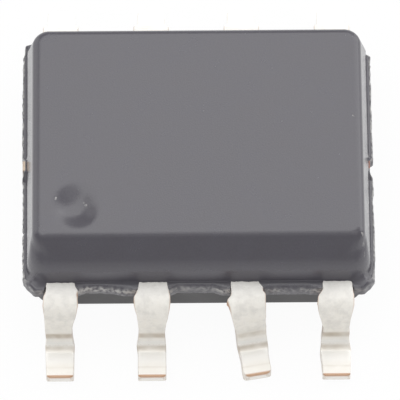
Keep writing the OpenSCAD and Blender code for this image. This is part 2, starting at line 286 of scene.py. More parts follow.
def ramp(tree, value, taken, given=(0.0, 1.0)):
    """Maps one range of values to another, and stops at its ends."""
    node = add(tree, "ShaderNodeMapRange")
    for key, number in zip(("From Min", "From Max", "To Min", "To Max"), (*taken, *given)):
        node.inputs[key].default_value = number
    tree.links.new(value, node.inputs["Value"])
    return node.outputs["Result"]


def combine(tree, operation, a, b):
    node = add(tree, "ShaderNodeMath", operation=operation)
    feed(tree, node.inputs[0], a)
    feed(tree, node.inputs[1], b)
    return node.outputs[0]


def times(tree, a, b):
    return combine(tree, "MULTIPLY", a, b)


def mix_colour(tree, factor, a, b):
    node = add(tree, "ShaderNodeMix", data_type="RGBA")
    feed(tree, node.inputs[0], factor)
    feed(tree, node.inputs[6], a)
    feed(tree, node.inputs[7], b)
    return node.outputs[2]


def bump(tree, shader, height, distance_mm):
    node = add(tree, "ShaderNodeBump", Strength=1.0, Distance=distance_mm * MM)
    tree.links.new(height, node.inputs["Height"])
    tree.links.new(node.outputs["Normal"], shader.inputs["Normal"])


def moulding_material():
    """Dark compound with a fine grain, pale and rougher where it is broken and at its painted glints, darker
    and rougher where shade is painted on.
    """
    material, tree, shader = new_material("moulding_compound")
    grain = object_noise(tree, size_mm=0.022, detail=2)
    cloud = object_noise(tree, size_mm=0.35, detail=4)
    fleck = ramp(tree, object_noise(tree, size_mm=0.06, detail=2.5), taken=(0.38, 0.66))
    speck = ramp(tree, grain, taken=(0.25, 0.8), given=(0.0, 0.35))
    base = mix_colour(tree, ramp(tree, cloud, MIDDLE), MOULDING_DARK, MOULDING_LIGHT)
    base = mix_colour(tree, speck, base, MOULDING_GRAIN)
    # Painted shade: the lower half and the crease at the wall's foot are darkened
    base = mix_colour(tree, attribute(tree, "painted_shade"), base, MOULDING_PAINTED_SHADE)
    # Pale where the flash is broken and at flecks and scuffs, and painted glints in the dimple and a painted
    # highlight on the bevel's right edge
    base = mix_colour(tree, times(tree, attribute(tree, "broken"), fleck), base, MOULDING_BROKEN_AND_GLINT)
    rough = ramp(tree, cloud, MIDDLE, MOULDING_ROUGH)
    for name, change in MOULDING_ROUGHER.items():
        rough = combine(tree, "ADD", rough, times(tree, attribute(tree, name), change))
    feed(tree, shader.inputs["Base Color"], base)
    feed(tree, shader.inputs["Roughness"], rough)
    shader.inputs["Specular IOR Level"].default_value = 1.0
    bump(tree, shader, grain, distance_mm=0.0016)
    return material


def lead_material():
    """Matte, mottled tin over copper, smoother on the feet, with tan bands across the heel, and painted light
    beside the moulding, across the heel and on the back leads.
    """
    material, tree, shader = new_material("matte_tin")
    matte, shine, pale_tin_and_painted_light = (attribute(tree, name) for name in ("matte", "shine", "pale_tin_and_painted_light"))
    cloud = object_noise(tree, size_mm=0.12)
    grain = object_noise(tree, size_mm=0.03)
    mottle = ramp(tree, object_noise(tree, size_mm=0.13, detail=4, roughness=0.6), taken=(0.42, 0.66))
    uneven = ramp(tree, object_noise(tree, size_mm=0.16, detail=1), taken=(0.3, 0.65), given=(0.55, 1.1))
    stained = times(tree, times(tree, mottle, matte), ramp(tree, pale_tin_and_painted_light, WHOLE, given=(0.5, 0.25)))
    base = mix_colour(tree, ramp(tree, cloud, MIDDLE), TIN_DARK, TIN_LIGHT)
    # Pale tin on the toe's face, and painted light beside the moulding, across the heel and on the back leads
    base = mix_colour(tree, times(tree, pale_tin_and_painted_light, PALE_SHARE), base, TIN_PALE_AND_PAINTED_LIGHT)
    base = mix_colour(tree, stained, base, TIN_STAIN)
    base = mix_colour(tree, times(tree, attribute(tree, "tan"), uneven), base, TIN_TAN)
    base = mix_colour(tree, attribute(tree, "copper"), base, STUB_COPPER)
    calm = ramp(tree, shine, WHOLE, given=(1.0, 0.1))
    speckle = times(tree, calm, ramp(tree, grain, WIDE, given=(-0.06, 0.06)))
    relief = times(tree, grain, times(tree, calm, ramp(tree, matte, WHOLE, given=(0.15, 1.0))))
    rough = combine(tree, "ADD", speckle, ramp(tree, matte, WHOLE, TIN_ROUGH))
    feed(tree, shader.inputs["Base Color"], base)
    feed(tree, shader.inputs["Metallic"], ramp(tree, shine, WHOLE, TIN_METALLIC))
    feed(tree, shader.inputs["Roughness"], rough)
    bump(tree, shader, relief, distance_mm=0.006)
    return material


def plain_metal(name, colour, dark, roughness, size_mm):
    """Metal or polished stone with fine brushed variation."""
    material, tree, shader = new_material(name)
    grain = object_noise(tree, size_mm)
    base = mix_colour(tree, ramp(tree, grain, MIDDLE), colour, dark)
    rough = ramp(tree, grain, WIDE, given=(roughness - METAL_SPREAD, roughness + METAL_SPREAD))
    feed(tree, shader.inputs["Base Color"], base)
    feed(tree, shader.inputs["Roughness"], rough)
    shader.inputs["Metallic"].default_value = 1.0
    bump(tree, shader, grain, distance_mm=0.001)
    return material


def copper_frame_material():
    """Copper that is bare at the right tie bar and has some tin on the left one."""
    material, tree, shader = new_material("copper_frame")
    grain = object_noise(tree, size_mm=0.05)
    place = add(tree, "ShaderNodeTexCoord")
    along = add(tree, "ShaderNodeSeparateXYZ")
    tree.links.new(place.outputs["Object"], along.inputs[0])
    tinned = ramp(tree, along.outputs["X"], (TINNED_X[0] * MM, TINNED_X[1] * MM), given=(1.0, 0.0))
    bare = mix_colour(tree, ramp(tree, grain, MIDDLE), FRAME_COPPER, FRAME_COPPER_DARK)
    feed(tree, shader.inputs["Base Color"], mix_colour(tree, tinned, bare, FRAME_TINNED))
    feed(tree, shader.inputs["Roughness"], ramp(tree, grain, WIDE, COPPER_ROUGH))
    shader.inputs["Metallic"].default_value = 1.0
    bump(tree, shader, grain, distance_mm=0.001)
    return material


def paste_material():
    material, tree, shader = new_material("silver_paste")
    grain = object_noise(tree, size_mm=0.02)
    feed(tree, shader.inputs["Base Color"], mix_colour(tree, grain, PASTE_DARK, PASTE_LIGHT))
    shader.inputs["Roughness"].default_value = 0.6
    shader.inputs["Metallic"].default_value = 0.4
    bump(tree, shader, grain, distance_mm=0.004)
    return material


# Moulding

SIDE_STEP = 0.016
ARC_POINTS = 20
# Heights of the lowest rows of the upper half over the frame's top, and counts of the other rows
FOOT_LEVELS = [0, 0.001, 0.003, 0.006, 0.012, 0.02, 0.03, 0.042, 0.058, 0.08, 0.105, 0.13]
UPPER_WALL_ROWS = 12
LOWER_WALL_ROWS = 6
EDGE_ROWS = 9
# Points that fill a round mark: circles from its middle to past its rim, and the angle between their points
MARK_CIRCLES = np.linspace(0.1, 1.15, 15)
MARK_TURN = math.pi / 28
WELD_GAP = 1e-6


def outline(inset=0.0, end_inset=0.0, radius=CORNER_R, front=HALF_W, front_radius=CORNER_R):
    """Points round a level section of the moulding and their outward normals, from its front left corner."""
    long, back = HALF_L - end_inset, HALF_W - inset
    corners = [
        (long - front_radius, front_radius - front, front_radius),
        (long - radius, back - radius, radius),
        (radius - long, back - radius, radius),
        (front_radius - long, front_radius - front, front_radius),
    ]
    points, normals = [], []
    for k, (x, y, r) in enumerate(corners):
        last_x, last_y, last_r = corners[k - 1]
        angle = math.pi / 2 * (k - 1)
        normal = np.array([math.cos(angle), math.sin(angle)])
        start = np.array([last_x, last_y]) + last_r * normal
        end = np.array([x, y]) + r * normal
        count = round(2 * (HALF_W if k % 2 else HALF_L) / SIDE_STEP)
        share = np.arange(count)[:, None] / count
        points.append(start + (end - start) * share)
        normals.append(np.tile(normal, (count, 1)))
        turn = angle + math.pi / 2 * np.arange(ARC_POINTS) / ARC_POINTS
        fan = np.column_stack([np.cos(turn), np.sin(turn)])
        points.append(np.array([x, y]) + r * fan)
        normals.append(fan)
    return np.concatenate(points), np.concatenate(normals)


# Outline of the broken flash, seen from above, anticlockwise from the corner beside pin 1
FLASH_FRONT = [
    (-2.43, -1.85), (-2.35, -1.95), (-2.265, -2.06), (-2.2, -2.1), (-1.7, -2.1), (-1.66, -2.03),
    (-1.56, -1.99), (-1.2, -2.0), (-0.95, -2.06), (-0.86, -2.12), (-0.42, -2.07), (-0.3, -1.995),
    (0.2, -1.995), (0.33, -2.05), (0.42, -2.1), (0.88, -2.06), (0.96, -2.03), (1.5, -2.03),
    (1.62, -2.06), (1.7, -2.1), (2.12, -2.1), (2.2, -2.08), (2.27, -2.05), (2.37, -1.95), (2.43, -1.87),
]
FLASH_RIGHT = [
    (2.445, -1.28), (2.45, -1.08), (2.44, -0.88), (2.43, -0.5), (2.455, -0.375), (2.43, -0.2),
    (2.39, -0.14), (2.39, 0.01), (2.45, 0.06), (2.44, 0.14), (2.455, 0.24), (2.44, 0.49),
    (2.44, 1.5), (2.435, 1.83), (2.385, 1.855),
]
FLASH_BACK = [(2.2, 1.96), (2.1, 2.04), (-2.1, 2.04), (-2.25, 2.03), (-2.34, 1.99), (-2.4, 1.97)]
FLASH_LEFT = [
    (-2.43, 1.82), (-2.44, 1.06), (-2.442, 0.13), (-2.406, 0.045), (-2.406, -0.1), (-2.428, -0.12),
    (-2.436, -0.18), (-2.434, -0.42), (-2.438, -1.0), (-2.415, -1.048), (-2.437, -1.09),
]
# Reach of the flash where a normal misses its outline, and the least reach that chips leave
MISSED_REACH = 0.02
LEAST_REACH = 0.006
# Coarse and fine chips of its edge, and the roughness of its broken face outwards and upwards
CHIP = 0.006
FINE_CHIP = 0.004
BROKEN_OUT = 0.007
BROKEN_UP = 0.004
# The flash ends over this range inside a lead's edges
LEAD_CLEAR = (0.02, 0.004)
# Points no further in than this count as on one of the sides with leads
ON_SIDE_GAP = 0.01
# How worn and pale its broken edge is: along the front, by place along X, at the back and at the ends
FRONT_WEAR = [
    (-2.3, 0.6), (-2.1, 0.6), (-1.7, 1.9), (-1.55, 1.4), (-1.25, 0.9), (-0.95, 1.6), (-0.84, 1.8),
    (-0.42, 0.7), (-0.3, 0.8), (0, 0.3), (0.25, 0.9), (0.42, 1.6), (0.86, 0.6), (1.1, 0.6),
    (1.35, 0.3), (1.55, 0.9), (1.7, 1.6), (2.1, 0.4), (2.3, 0.4),
]
BACK_WEAR = 0.6
END_WEAR = 1.2
# Rows of the flash: share of its reach, height over the frame's underside, damage at the sides and the ends
FLASH_LEVELS = [
    (0.4, 0.0, 0.0, 0.0), (0.97, 0.01, 0.2, 0.1), (1.0, 0.03, 0.2, 0.1), (1.0, 0.07, 0.4, 0.2),
    (1.0, 0.1, 1.0, 0.3), (1.0, 0.135, 1.2, 0.45), (0.96, 0.16, 0.8, 0.65), (0.86, 0.178, 0.35, 0.85),
    (0.7, 0.19, 0.1, 0.9), (0.45, 0.197, 0.0, 0.9), (0.1, 0.2, 0.0, 0.9),
]
# Bleed of the moulding on the leads' tops: reach past their sides, height, fray and the fray's limits
BLEED_PAST = 0.02
BLEED_LIFT = 0.003
BLEED_FRAY = 0.007
BLEED_LIMITS = (-0.008, 0.01)


def flash_reach(points, normals):
    """Distance from each point of the outline to the edge of the flash, along the point's normal."""
    start = np.array(FLASH_FRONT + FLASH_RIGHT + FLASH_BACK + FLASH_LEFT)
    edge = np.roll(start, -1, axis=0) - start
    tiny = 1e-9
    reach = []
    for point, normal in zip(points, normals):
        across = normal[0] * edge[:, 1] - normal[1] * edge[:, 0]
        across[np.abs(across) < tiny] = tiny
        gap = start - point
        along_ray = (gap[:, 0] * edge[:, 1] - gap[:, 1] * edge[:, 0]) / across
        along_edge = (gap[:, 0] * normal[1] - gap[:, 1] * normal[0]) / across
        hits = along_ray[(along_edge >= 0) & (along_edge <= 1) & (along_ray > 0)]
        reach.append(hits.min() if len(hits) else MISSED_REACH)
    return np.array(reach)


def beside_lead(points):
    """How far each outline point is from the middle of the nearest lead, where it is on a lead's side."""
    columns = [(k - (SIDE_PINS - 1) / 2) * PITCH for k in range(SIDE_PINS)]
    gaps = np.min([np.abs(points[:, 0] - x) for x in columns], axis=0)
    return np.where(np.abs(points[:, 1]) > HALF_W - ON_SIDE_GAP, gaps, np.inf)


def wall_inset(z, height, draft):
    """How far a drafted wall with a rounded edge has drawn in at a height, up to its flat face."""
    centre = height - EDGE_R
    if z <= centre + EDGE_R * math.sin(draft):
        return z * math.tan(draft)
    flat_inset = height * math.tan(draft) + EDGE_R * math.tan((math.pi / 2 - draft) / 2)
    return flat_inset - math.sqrt(max(0.0, EDGE_R ** 2 - (z - centre) ** 2))


def half_levels(height, wall_z):
    """Side inset, end inset, height and corner radius of each level of a half, out to its flat face."""
    centre = height - EDGE_R
    wall_top = centre + EDGE_R * math.sin(DRAFT)
    wall_radius = FLAT_CORNER_R + EDGE_R * math.cos(DRAFT)
    edge_z = [centre + EDGE_R * math.sin(a) for a in np.linspace(DRAFT, math.pi / 2, EDGE_ROWS)]
    levels = []
    for z in list(wall_z) + edge_z:
        over = z - centre
        if over <= EDGE_R * math.sin(DRAFT):
            radius = CORNER_R + (wall_radius - CORNER_R) * z / wall_top
        else:
            radius = FLAT_CORNER_R + math.sqrt(max(0.0, EDGE_R ** 2 - over ** 2))
        levels.append((wall_inset(z, height, DRAFT), wall_inset(z, height, END_DRAFT), z, radius))
    return levels


def bevel_reach(z):
    """Distance of the bevel from the centre line at a height above the frame's top."""
    low_z = UPPER_H - BEVEL_H
    low_y = HALF_W - low_z * math.tan(DRAFT)
    if z <= UPPER_H - BEVEL_TOP_R * (1 - math.cos(BEVEL_SLOPE)):
        return low_y - (z - low_z)
    high_y = low_y - BEVEL_H - BEVEL_TOP_R * math.tan(BEVEL_SLOPE / 2)
    return high_y + math.sqrt(max(0, BEVEL_TOP_R ** 2 - (BEVEL_TOP_R - (UPPER_H - z)) ** 2))


def soft_min(a, b, soft):
    overlap = np.clip(soft - np.abs(a - b), 0, None)
    return np.minimum(a, b) - overlap ** 2 / (4 * soft)


def at_ends(normals):
    return smooth_step(*LOWER_FLASH_AT, np.abs(normals[:, 0]))


def end_drop(points, normals):
    """How much lower the top of the flash is at the ends than the frame's top, except beside the tie bars."""
    at_bar = 1 - smooth_step(*TIE_CLEAR, np.abs(points[:, 1] - TIE_Y))
    return END_DROP * at_ends(normals) * (1 - at_bar)


def foot_fillet(points, normals):
    """Radius of the fillet at the wall's foot, round the moulding."""
    off_sides = smooth_step(*WIDE_FILLET_AT, np.abs(normals[:, 0]))
    wide = np.minimum(CORNER_FILLET_R, FILLET_SHARE * flash_reach(points, normals))
    return FILLET_R + (wide - FILLET_R) * off_sides


def flash_rows(points, normals):
    """Rows from under the flash, round its broken edge, to its rounded top, and how broken each point is."""
    at_lead = beside_lead(points)
    clear = smooth_step(LEAD_W / 2 - LEAD_CLEAR[0], LEAD_W / 2 - LEAD_CLEAR[1], at_lead)
    clear[np.isinf(at_lead)] = 1
    at_end = at_ends(normals)
    wear = np.where(points[:, 1] < 0, np.interp(points[:, 0], *zip(*FRONT_WEAR)), BACK_WEAR)
    wear = clear * wear * (1 - at_end)
    drop = end_drop(points, normals)
    fillet = foot_fillet(points, normals) * clear
    flat = np.column_stack([points, np.full(len(points), FRAME_TOP)])
    chips = CHIP * ragged(flat, wave=0.09, seed=1) + FINE_CHIP * ragged(flat, wave=0.03, seed=2)
    reach = np.maximum(flash_reach(points, normals) + chips, LEAST_REACH) * clear
    rows, broken = [], []
    for share, height, damage, end_damage in FLASH_LEVELS:
        at = points + normals * (fillet + share * (reach - fillet))[:, None]
        row = np.column_stack([at, FRAME_Z + height * (1 - drop)])
        rough = ragged(row, wave=0.06, seed=3) * BROKEN_OUT * damage * clear
        row[:, :2] += normals * rough[:, None]
        row[:, 2] += ragged(row, wave=0.05, seed=4) * BROKEN_UP * damage * clear * (1 - drop)
        rows.append(row)
        broken.append(damage * wear + END_WEAR * end_damage * at_end)
    return rows, broken


def upper_rows(points, normals):
    """Rows of the upper half, with the bevel along the front and ragged bleed on the leads' tops."""
    wall_z = np.linspace(FOOT_LEVELS[-1], UPPER_H - EDGE_R, UPPER_WALL_ROWS + 1)[1:]
    drop = LEAD_T * end_drop(points, normals)
    fillet = foot_fillet(points, normals)
    rows = []
    for k, (inset, end_inset, z, radius) in enumerate(half_levels(UPPER_H, FOOT_LEVELS + list(wall_z))):
        front = soft_min(HALF_W - inset, bevel_reach(z), BEVEL_SOFT)
        front_radius = min(WALL_CORNER_R, FLAT_CORNER_R + (UPPER_H - z))
        at, _ = outline(inset, end_inset, radius, front, front_radius)
        raised = z + drop * smooth_step(0, DROP_FADE, z)
        below = np.clip(fillet - raised, 0, None)
        at = at + normals * (fillet - np.sqrt(fillet ** 2 - below ** 2))[:, None]
        if k == 0:
            bleed = np.where(beside_lead(at) < LEAD_W / 2 + BLEED_PAST, 1.0, 0.0)
            flat = np.column_stack([points, np.zeros(len(points))])
            fray = np.clip(BLEED_FRAY * ragged(flat, wave=0.05, seed=6), *BLEED_LIMITS)
            at = at + normals * (bleed * fray)[:, None]
            raised = raised + BLEED_LIFT * bleed
        row = np.column_stack([at, FRAME_TOP - drop + raised])
        row[:, 2] -= dimple_sink(row[:, 0], row[:, 1]) * smooth_step(TOP_Z - SAG_H, TOP_Z, row[:, 2])
        rows.append(row)
    return rows


def lower_rows():
    """Rows of the lower half, from its flat underside up to the flash."""
    wall_z = np.linspace(0, LOWER_H - EDGE_R, LOWER_WALL_ROWS)
    rows = []
    for inset, end_inset, z, radius in reversed(half_levels(LOWER_H, wall_z)):
        at, _ = outline(inset, end_inset, radius, HALF_W - inset, WALL_CORNER_R)
        rows.append(np.column_stack([at, np.full(len(at), FRAME_Z - z)]))
    return rows


def dimple_sink(x, y):
    """Depth of the soft, nearly round pin 1 dimple."""
    from_x, from_y = x - DIMPLE_X, y - DIMPLE_Y
    across = from_y * math.cos(DIMPLE_LEAN) - from_x * math.sin(DIMPLE_LEAN)
    along = from_x * math.cos(DIMPLE_LEAN) + from_y * math.sin(DIMPLE_LEAN)
    across = across / np.where(across > 0, DIMPLE_BACK, DIMPLE_FRONT)
    along = along / np.where(along > 0, DIMPLE_RIGHT, DIMPLE_LEFT)
    return DIMPLE_DEPTH * (1 - smooth_step(DIMPLE_FLAT, 1, np.hypot(across, along)))


def top_height(x, y):
    """Top face with its dimple."""
    return TOP_Z - float(dimple_sink(x, y))


def underside_height(x, y):
    """Underside with its two round ejector marks."""
    radius = min(math.hypot(x - EJECTOR_X, y), math.hypot(x + EJECTOR_X, y))
    return BOTTOM_Z + EJECTOR_DEPTH * (1 - float(smooth_step(EJECTOR_R * EJECTOR_RIM, EJECTOR_R, radius)))


def cap(ring, height_at, marks):
    """Points and triangles that fill a ring and follow height_at, with circles of points at round marks."""
    extra = []
    for x, y, radius in marks:
        extra.append((x, y))
        for share in MARK_CIRCLES:
            for angle in np.arange(0, 2 * math.pi, MARK_TURN):
                extra.append((x + radius * share * math.cos(angle), y + radius * share * math.sin(angle)))
    flat = [Vector((p[0], p[1])) for p in ring] + [Vector(p) for p in extra]
    loop = list(range(len(ring)))
    inside_only = 1
    verts, _, faces, origin, _, _ = delaunay_2d_cdt(flat, [], [loop], inside_only, WELD_GAP)
    inner, index = [], []
    for vert, sources in zip(verts, origin):
        if sources and sources[0] < len(ring):
            index.append(("ring", sources[0]))
        else:
            index.append(("inner", len(inner)))
            inner.append((vert.x, vert.y, height_at(vert.x, vert.y)))
    return inner, [[index[i] for i in face] for face in faces]


def add_caps(verts, faces, top_first, count):
    """Closes the moulding's top and its underside."""
    top_marks = [(DIMPLE_X, DIMPLE_Y, DIMPLE_BACK)] + TOP_FLECKS_AND_GLINTS
    under_marks = [(x, 0, EJECTOR_R) for x in (-EJECTOR_X, EJECTOR_X)]
    for first, height_at, marks, flip in (
        (top_first, top_height, top_marks, False),
        (0, underside_height, under_marks, True),
    ):
        inner, triangles = cap(verts[first:first + count], height_at, marks)
        base = len(verts)
        verts.extend(inner)
        for triangle in triangles:
            face = [first + i if kind == "ring" else base + i for kind, i in triangle]
            faces.append(face[::-1] if flip else face)


def on_rows(values, rows, total):
    """Values round one row, repeated on each row, with zeros for the points of the caps."""
    out = np.zeros(total)
    out[:rows * len(values)] = np.tile(values, rows)
    return out


def moulding_looks(verts, normals, broken):
    """Values that the moulding's material reads at its points. The third argument has an array for each row.
    """
    rows, total = len(broken), len(verts)
    z = verts[:, 2]
    damage = np.concatenate(broken + [np.zeros(total - rows * len(normals))])
    # Pale flecks and scuffs, painted glints in the dimple, and a painted highlight on the bevel's right edge
    for x, y, radius in TOP_FLECKS_AND_GLINTS:
        gap = np.hypot(verts[:, 0] - x, verts[:, 1] - y)
        damage += FLECK_AND_GLINT_PALE * (1 - smooth_step(FLECK_EVEN * radius, radius, gap)) * (z > TOP_Z - BEVEL_H)
    at_end = on_rows(smooth_step(*POLISH_AT, np.abs(normals[:, 0])), rows, total)
    at_side = on_rows(smooth_step(*SIDE_BANDS_AT, np.abs(normals[:, 1])), rows, total)
    on_upper = z > FRAME_TOP - LEVEL_GAP
    at_foot = band((z - FRAME_TOP) / FOOT_PAINTED_SHADE_H, *FOOT_PAINTED_SHADE_AT) * at_side
    return {
        "broken": damage,
        # Painted shade under the lower half and in the crease at the wall's foot
        "painted_shade": np.maximum(LOWER_PAINTED_SHADE * (z < LOWER_PAINTED_SHADE_Z), FOOT_PAINTED_SHADE * at_foot),
        "dull": (1 - smooth_step(0.0, DULL_H, z - FRAME_TOP)) * on_upper * at_side,
        "polished": at_end * on_upper * (1 - smooth_step(TOP_Z - EDGE_R, TOP_Z, z)),
    }


def build_moulding(material):
    points, normals = outline(front_radius=WALL_CORNER_R)
    count = len(points)
    lower = lower_rows()
    flash, flash_broken = flash_rows(points, normals)
    upper = upper_rows(points, normals)
    rows = lower + flash + upper
    whole = np.zeros(count)
    broken = [whole] * len(lower) + flash_broken + [whole] * len(upper)
    verts = list(np.concatenate(rows))
    faces = tube_faces(len(rows), count)
    add_caps(verts, faces, (len(rows) - 1) * count, count)
    verts = np.clip(verts, BODY_LOW, BODY_HIGH)
    looks = moulding_looks(verts, normals, broken)
    make_piece("moulding", verts, faces, material, "moulded_body", looks)


# Leads

SHOULDER_RUN = 0.22
SHOULDER_R = 0.05
HEEL_R = 0.2
LEG_SLOPE = math.radians(84)
TOE_W = 0.38
TOE_R = 0.09
LEAD_EDGE_R = 0.016
# Lead 3 is bent sideways, within this range of path lengths from the wall
SPLAYED_PIN = 3
SPLAY = math.radians(10.25)
SPLAY_AT = (-0.05, 0.12)
# Points across a lead's section: along its top and underside, up a side, and inside a rounded edge
TOP_POINTS = 10
UNDER_POINTS = 6
SIDE_POINTS = 5
EDGE_POINTS = 3
# Stations along a lead outside the wall, and round its toe's corners
PATH_STATIONS = 100
CORNER_STATIONS = 9

# Centre line of a lead: radii of its bends, then distances from the wall (U), heights and path lengths (S)
SHOULDER_MID = SHOULDER_R + LEAD_T / 2
HEEL_MID = HEEL_R + LEAD_T / 2
BENDS_DROP = (SHOULDER_MID + HEEL_MID) * (1 - math.cos(LEG_SLOPE))
LEG_LEN = (FRAME_Z - BENDS_DROP) / math.sin(LEG_SLOPE)
MIDDLE_Z = FRAME_Z + LEAD_T / 2
LEG_U = SHOULDER_RUN + SHOULDER_MID * math.sin(LEG_SLOPE)
LEG_Z = MIDDLE_Z - SHOULDER_MID * (1 - math.cos(LEG_SLOPE))
HEEL_U = LEG_U + LEG_LEN * math.cos(LEG_SLOPE)
HEEL_Z = LEG_Z - LEG_LEN * math.sin(LEG_SLOPE)
FOOT_U = HEEL_U + HEEL_MID * math.sin(LEG_SLOPE)
TOE_U = LEAD_HIGH[1] - HALF_W
LEG_S = SHOULDER_RUN + SHOULDER_MID * LEG_SLOPE
HEEL_S = LEG_S + LEG_LEN
FOOT_S = HEEL_S + HEEL_MID * LEG_SLOPE
TOE_S = FOOT_S + TOE_U - FOOT_U

# Half widths of a lead along its path outside the moulding
WIDTH_S = [0, 0.1, 0.17, 0.24, 0.31, 0.37, 0.44, 0.56, 0.68, HEEL_S, 0.93, 1.06, 1.2, TOE_S]
WIDTH_HALF = [0.203, 0.208, 0.226, 0.245, 0.25, 0.24, 0.222, 0.2, 0.186, 0.181, 0.184, 0.2, 0.203, TOE_W / 2]
# How much further out the left and right edges of each front lead are than those of a whole lead
EDGE_S = [0.06, 0.13, 0.2, 0.24, 0.31, 0.4, 0.48, 0.6, 0.71, 0.83, 0.96, 1.07, 1.18, 1.3, 1.45, TOE_S]
WHOLE_EDGE = [0] * len(EDGE_S)
EDGE_MORE = {
    1: (
        [0, -0.01, -0.004, 0, 0, 0, 0.012, 0.026,
         0.034, 0.026, 0.013, 0.008, 0, 0, -0.003, -0.005],
        [0, 0.022, -0.012, -0.012, -0.014, -0.022, -0.026, -0.028,
         -0.026, -0.022, -0.013, 0, -0.008, -0.004, 0, 0],
    ),
    2: (
        [0, 0, 0.01, 0.022, 0.012, -0.006, 0, 0.01,
         0.01, 0.01, 0.012, 0.02, 0, 0, 0.006, 0.008],
        [0, 0.004, 0, -0.004, -0.014, -0.018, -0.013, -0.012,
         -0.012, -0.012, -0.012, -0.012, -0.012, -0.01, 0, 0],
    ),
    3: (
        [0, 0, 0.01, 0.055, 0.03, 0.036, 0.04, 0.04,
         0.028, 0.013, 0, -0.013, -0.026, -0.026, -0.01, -0.006],
        [0, 0.012, -0.012, 0.0, -0.024, -0.02, 0, 0.014,
         0.036, 0.04, 0.038, 0.028, 0.026, 0.014, 0.016, 0.02],
    ),
    4: (
        [0, -0.016, 0.004, 0.02, 0.026, 0.02, 0.014, 0.012,
         0, 0.012, 0.024, 0.014, 0.024, 0.013, 0.004, 0.004],
        [0.008, 0, -0.006, -0.012, -0.014, -0.026, -0.026, -0.014,
         -0.012, -0.002, -0.012, -0.012, 0, 0, 0, 0],
    ),
}
# How far each front lead's toe stands to the left of its place, starting at a path length
TOE_SHIFT = {1: 0.022, 2: 0.015, 3: 0.028, 4: 0.01}
SHIFT_START = 0.2
# Radius of a toe's corners, and of those that are rounder
TOE_CORNER_R = 0.04
TOE_CORNERS = {1: 0.05, 3: 0.085}
# Fine unevenness of the bare sides and of the matte tops
SIDE_FRAY = 0.003
TOP_WAVES = 0.002

# Fingers inside the moulding: their gap from the paddle and from the tie bars, and their bonding tips
FRAME_GAP = 0.15
PADDLE_HALF_L = 1.3
TIP_L = 0.3
TIP_HALF = 0.45
CORNER_TIP_L = 0.5
CORNER_TIP_Y = 0.255
# Length over which a tip narrows to its finger, and the place of the finger's last station
TIP_STEP = 0.001
FINGER_END = -0.01

# Bare copper: on a lead's sides and edges, more so at its trimmed stubs, and in a line along a front toe
BARE_PARTS = {"side": 1.0, "edge": 0.4}
SIDE_BARE = 0.12
STUB_BARE = 0.8
BACK_STUB_BARE = 0.6
STUB_AT = ((0.13, 0.17), (0.3, 0.42))
LINE_BARE = 0.9
LINE_AT = (TOE_S - 0.032, TOE_S - 0.018)
LINE_DEPTH = (0.05, 0.03)
# Tan bands across the heel, by share of its turn, and a line across the foot
UPPER_BAND = ((-0.1, 0.02), (0.15, 0.32))
LOWER_BAND = ((0.58, 0.68), (0.74, 0.98))
FOOT_LINE = ((0.55, 0.6), (0.6, 0.68))
FOOT_LINE_TAN = 0.2
HEEL_MARKS = {1: (0.72, 0.4), 2: (0.75, 0.5), 3: (0.35, 0.6), 4: (0.7, 0.5)}
BACK_HEEL_MARKS = (0.5, 0.3)
# Painted light on the tin: a lightening beside the moulding, where its shade falls, and painted highlights
# between the heel's bands and where the foot starts
ROOT_FADE = (0.1, 0.4)
BETWEEN_BANDS = ((0.36, 0.44), (0.5, 0.62))
BETWEEN_BANDS_HIGHLIGHT = 0.8
FOOT_START = (0.86, 1.0)
FOOT_FADE = (0.25, 0.6)
# Where the tin stops being matte, and where the forming tool made it shine
MATTE_FADE = (0.5, FOOT_S)
SHINE_AT = ((HEEL_S - 0.1, HEEL_S), (FOOT_S - 0.05, FOOT_S + 0.1))
# Looks of the toe's face, which the tin has run over
TOE_FACE = {"matte": 0.5, "tan": 0.0, "shine": 0.0, "pale_tin_and_painted_light": 1.0}
TOE_FACE_BARE = 0.05


def lead_centre(s):
    """Distance from the wall, height and slope of the lead's centre line at a path length from the wall."""
    if s <= SHOULDER_RUN:
        return s, MIDDLE_Z, 0.0
    if s <= LEG_S:
        a = (s - SHOULDER_RUN) / SHOULDER_MID
        return SHOULDER_RUN + SHOULDER_MID * math.sin(a), MIDDLE_Z - SHOULDER_MID * (1 - math.cos(a)), a
    if s <= HEEL_S:
        d = s - LEG_S
        return LEG_U + d * math.cos(LEG_SLOPE), LEG_Z - d * math.sin(LEG_SLOPE), LEG_SLOPE
    if s <= FOOT_S:
        a = LEG_SLOPE - (s - HEEL_S) / HEEL_MID
        u = HEEL_U + HEEL_MID * (math.sin(LEG_SLOPE) - math.sin(a))
        return u, HEEL_Z - HEEL_MID * (math.cos(a) - math.cos(LEG_SLOPE)), a
    return FOOT_U + s - FOOT_S, LEAD_T / 2, 0.0


def finger_of(column):
    """Stations of a lead's part inside the moulding, for the columns counted from the local +X end."""
    half = LEAD_W / 2
    if column in (0, SIDE_PINS - 1):
        start, length = CORNER_TIP_Y - HALF_W, CORNER_TIP_L
        inward = END_LEAD_X - (PADDLE_HALF_L + FRAME_GAP)
        wide = (inward, half) if column == 0 else (half, inward)
    else:
        start, length = PADDLE_SIDE + FRAME_GAP - HALF_W, TIP_L
        wide = (TIP_HALF, TIP_HALF)
    end = start + length
    return [(start, *wide), (end, *wide), (end + TIP_STEP, half, half), (FINGER_END, half, half)]


